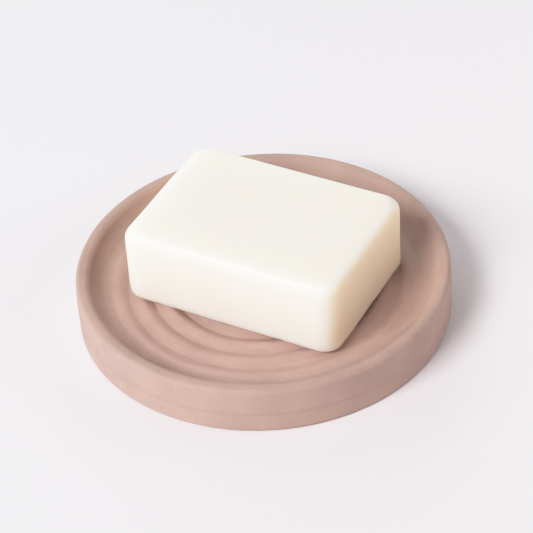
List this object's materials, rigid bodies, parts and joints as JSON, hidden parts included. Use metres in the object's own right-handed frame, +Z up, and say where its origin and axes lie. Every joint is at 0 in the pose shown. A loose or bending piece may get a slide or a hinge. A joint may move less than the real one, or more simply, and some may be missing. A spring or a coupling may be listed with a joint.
{
  "type": "soap bar on a dish",
  "caption": "Rectangular soap bar with rounded edges, lying loose on a round cast dish with a raised rim and concentric ribs that keep it out of the water.",
  "frame": {"origin": "centre of the dish's flat underside, on the surface that it stands on", "axes": "+Z up, out of the dish's open side; +X along the soap bar's length; +Y across the bar"},
  "size_m": [0.13, 0.13, 0.0405],
  "materials": {
    "dusty_pink_casting": "matte",
    "ivory_soap": "satin"
  },
  "bodies": {
    "dish": {"soap_dish": "dusty_pink_casting"},
    "soap": {"soap_bar": "ivory_soap"}
  },
  "joints": [
    {"name": "soap_lift", "type": "slide", "parent": "dish", "child": "soap", "axis": [0, 0, 1], "range_m": [0, 0.06]}
  ]
}
